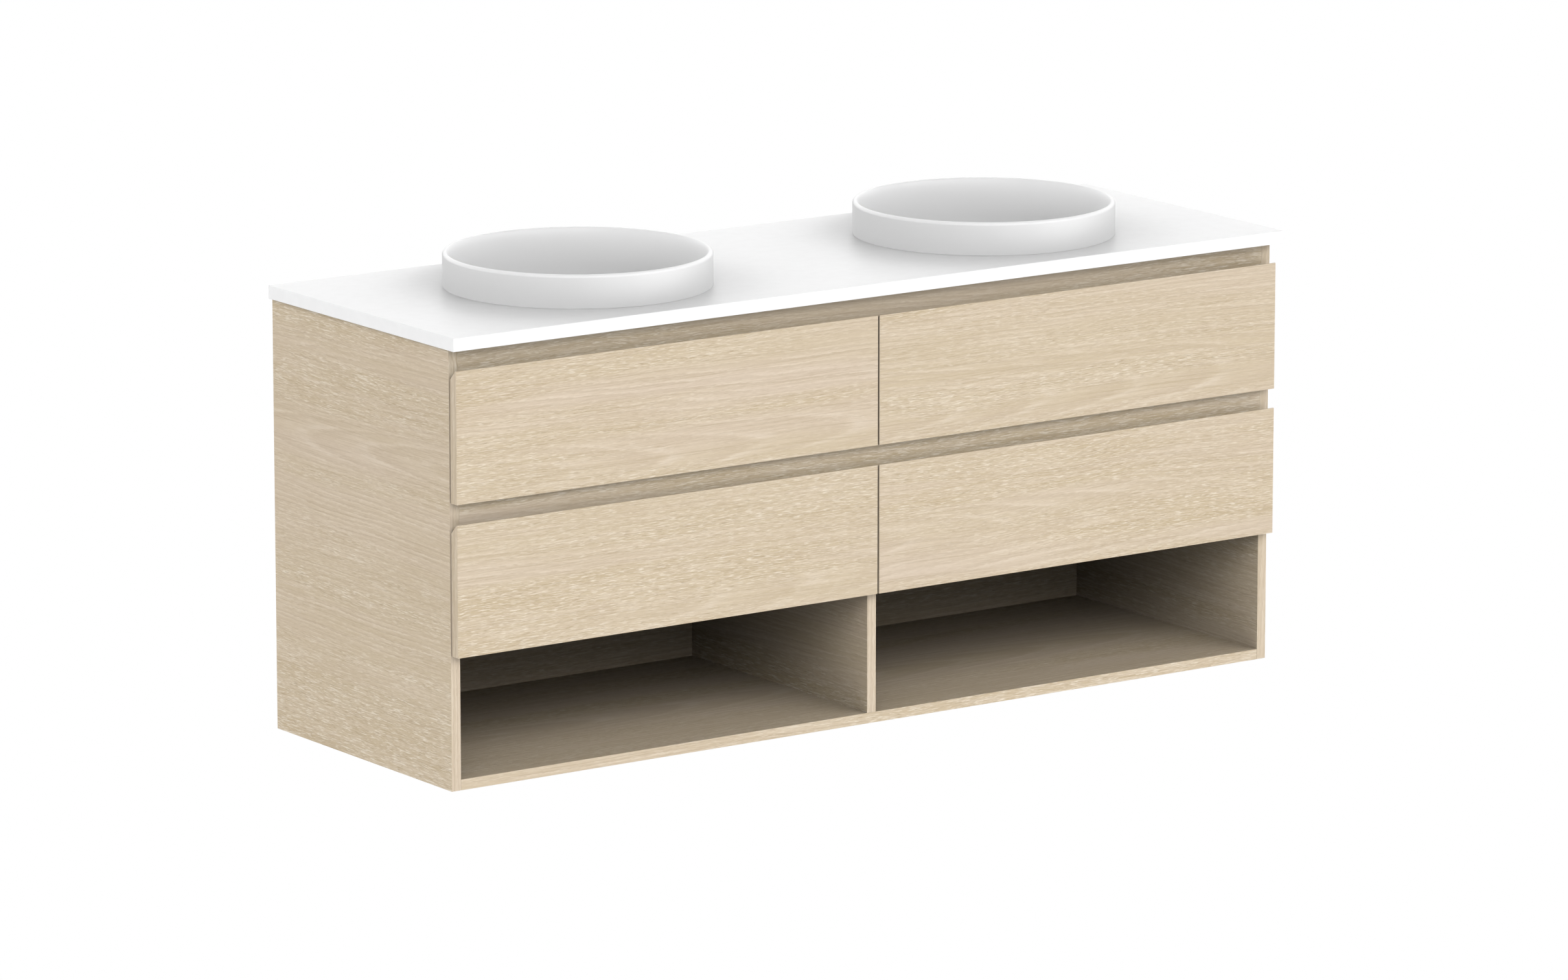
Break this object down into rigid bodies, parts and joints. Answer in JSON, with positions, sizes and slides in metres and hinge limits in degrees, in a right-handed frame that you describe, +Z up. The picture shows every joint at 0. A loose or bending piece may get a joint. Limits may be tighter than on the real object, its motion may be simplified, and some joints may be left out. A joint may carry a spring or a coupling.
{
  "type": "bathroom vanity cabinet",
  "caption": "Wall-hung oak-faced bathroom vanity with finger-pull drawers over open niches, a white benchtop and round semi-inset basins.",
  "frame": {"origin": "centre of the hanging rail's back face, on the wall, 600 mm above the underside of the carcass", "axes": "+X to the right along the wall, -Y out of the wall towards the person, +Z up"},
  "size_m": [1.5, 0.5, 0.72],
  "materials": {
    "oak_board": "matt pale oak grain, running level",
    "drawer_board": "matt off-white melamine",
    "benchtop": "satin white solid surface",
    "basin": "matt white",
    "waste": "polished",
    "waste_nut": "machined",
    "drawer_steel": "satin light grey powder coat",
    "runner_steel": "zinc plated",
    "notch_surround": "moulded, fine texture"
  },
  "bodies": {
    "carcass": {"side_panel_left": "oak_board", "side_panel_right": "oak_board", "bottom_panel": "oak_board", "niche_back_panel": "oak_board", "niche_divider": "oak_board", "niche_deck": "oak_board", "top_finger_rail": "oak_board", "middle_finger_rail": "oak_board", "hanging_rail": "oak_board", "drawer_divider": "drawer_board", "benchtop": "benchtop", "basin_left": "basin", "waste_body_left": "waste", "waste_nut_left": "waste_nut", "basin_right": "basin", "waste_body_right": "waste", "waste_nut_right": "waste_nut", "upper_left_runner_left": "runner_steel", "upper_left_runner_right": "runner_steel", "lower_left_runner_left": "runner_steel", "lower_left_runner_right": "runner_steel", "upper_right_runner_left": "runner_steel", "upper_right_runner_right": "runner_steel", "lower_right_runner_left": "runner_steel", "lower_right_runner_right": "runner_steel"},
    "upper_left_drawer": {"upper_left_front": "oak_board", "upper_left_base": "drawer_board", "upper_left_back_left": "drawer_board", "upper_left_back_right": "drawer_board", "upper_left_notch_surround": "notch_surround", "upper_left_side_left": "drawer_steel", "upper_left_side_right": "drawer_steel"},
    "upper_left_runner_middles": {"upper_left_runner_middle_left": "runner_steel", "upper_left_runner_middle_right": "runner_steel"},
    "lower_left_drawer": {"lower_left_front": "oak_board", "lower_left_base": "drawer_board", "lower_left_back": "drawer_board", "lower_left_side_left": "drawer_steel", "lower_left_side_right": "drawer_steel"},
    "lower_left_runner_middles": {"lower_left_runner_middle_left": "runner_steel", "lower_left_runner_middle_right": "runner_steel"},
    "upper_right_drawer": {"upper_right_front": "oak_board", "upper_right_base": "drawer_board", "upper_right_back_left": "drawer_board", "upper_right_back_right": "drawer_board", "upper_right_notch_surround": "notch_surround", "upper_right_side_left": "drawer_steel", "upper_right_side_right": "drawer_steel"},
    "upper_right_runner_middles": {"upper_right_runner_middle_left": "runner_steel", "upper_right_runner_middle_right": "runner_steel"},
    "lower_right_drawer": {"lower_right_front": "oak_board", "lower_right_base": "drawer_board", "lower_right_back": "drawer_board", "lower_right_side_left": "drawer_steel", "lower_right_side_right": "drawer_steel"},
    "lower_right_runner_middles": {"lower_right_runner_middle_left": "runner_steel", "lower_right_runner_middle_right": "runner_steel"},
    "plug_left": {"waste_plug_left": "waste"},
    "plug_right": {"waste_plug_right": "waste"}
  },
  "joints": [
    {"name": "upper_left_drawer_slide", "type": "slide", "parent": "carcass", "child": "upper_left_drawer", "axis": [0, -1, 0], "range_m": [0, 0.4]},
    {"name": "upper_left_runner_slide", "type": "slide", "parent": "carcass", "child": "upper_left_runner_middles", "axis": [0, -1, 0], "range_m": [0, 0.2]},
    {"name": "lower_left_drawer_slide", "type": "slide", "parent": "carcass", "child": "lower_left_drawer", "axis": [0, -1, 0], "range_m": [0, 0.4]},
    {"name": "lower_left_runner_slide", "type": "slide", "parent": "carcass", "child": "lower_left_runner_middles", "axis": [0, -1, 0], "range_m": [0, 0.2]},
    {"name": "upper_right_drawer_slide", "type": "slide", "parent": "carcass", "child": "upper_right_drawer", "axis": [0, -1, 0], "range_m": [0, 0.4]},
    {"name": "upper_right_runner_slide", "type": "slide", "parent": "carcass", "child": "upper_right_runner_middles", "axis": [0, -1, 0], "range_m": [0, 0.2]},
    {"name": "lower_right_drawer_slide", "type": "slide", "parent": "carcass", "child": "lower_right_drawer", "axis": [0, -1, 0], "range_m": [0, 0.4]},
    {"name": "lower_right_runner_slide", "type": "slide", "parent": "carcass", "child": "lower_right_runner_middles", "axis": [0, -1, 0], "range_m": [0, 0.2]},
    {"name": "waste_plug_left_lift", "type": "slide", "parent": "carcass", "child": "plug_left", "axis": [0, 0, 1], "range_m": [0, 0.008]},
    {"name": "waste_plug_right_lift", "type": "slide", "parent": "carcass", "child": "plug_right", "axis": [0, 0, 1], "range_m": [0, 0.008]}
  ],
  "couplings": [
    {"joint": "upper_left_runner_slide", "follows": "upper_left_drawer_slide", "ratio": 0.5},
    {"joint": "lower_left_runner_slide", "follows": "lower_left_drawer_slide", "ratio": 0.5},
    {"joint": "upper_right_runner_slide", "follows": "upper_right_drawer_slide", "ratio": 0.5},
    {"joint": "lower_right_runner_slide", "follows": "lower_right_drawer_slide", "ratio": 0.5}
  ]
}
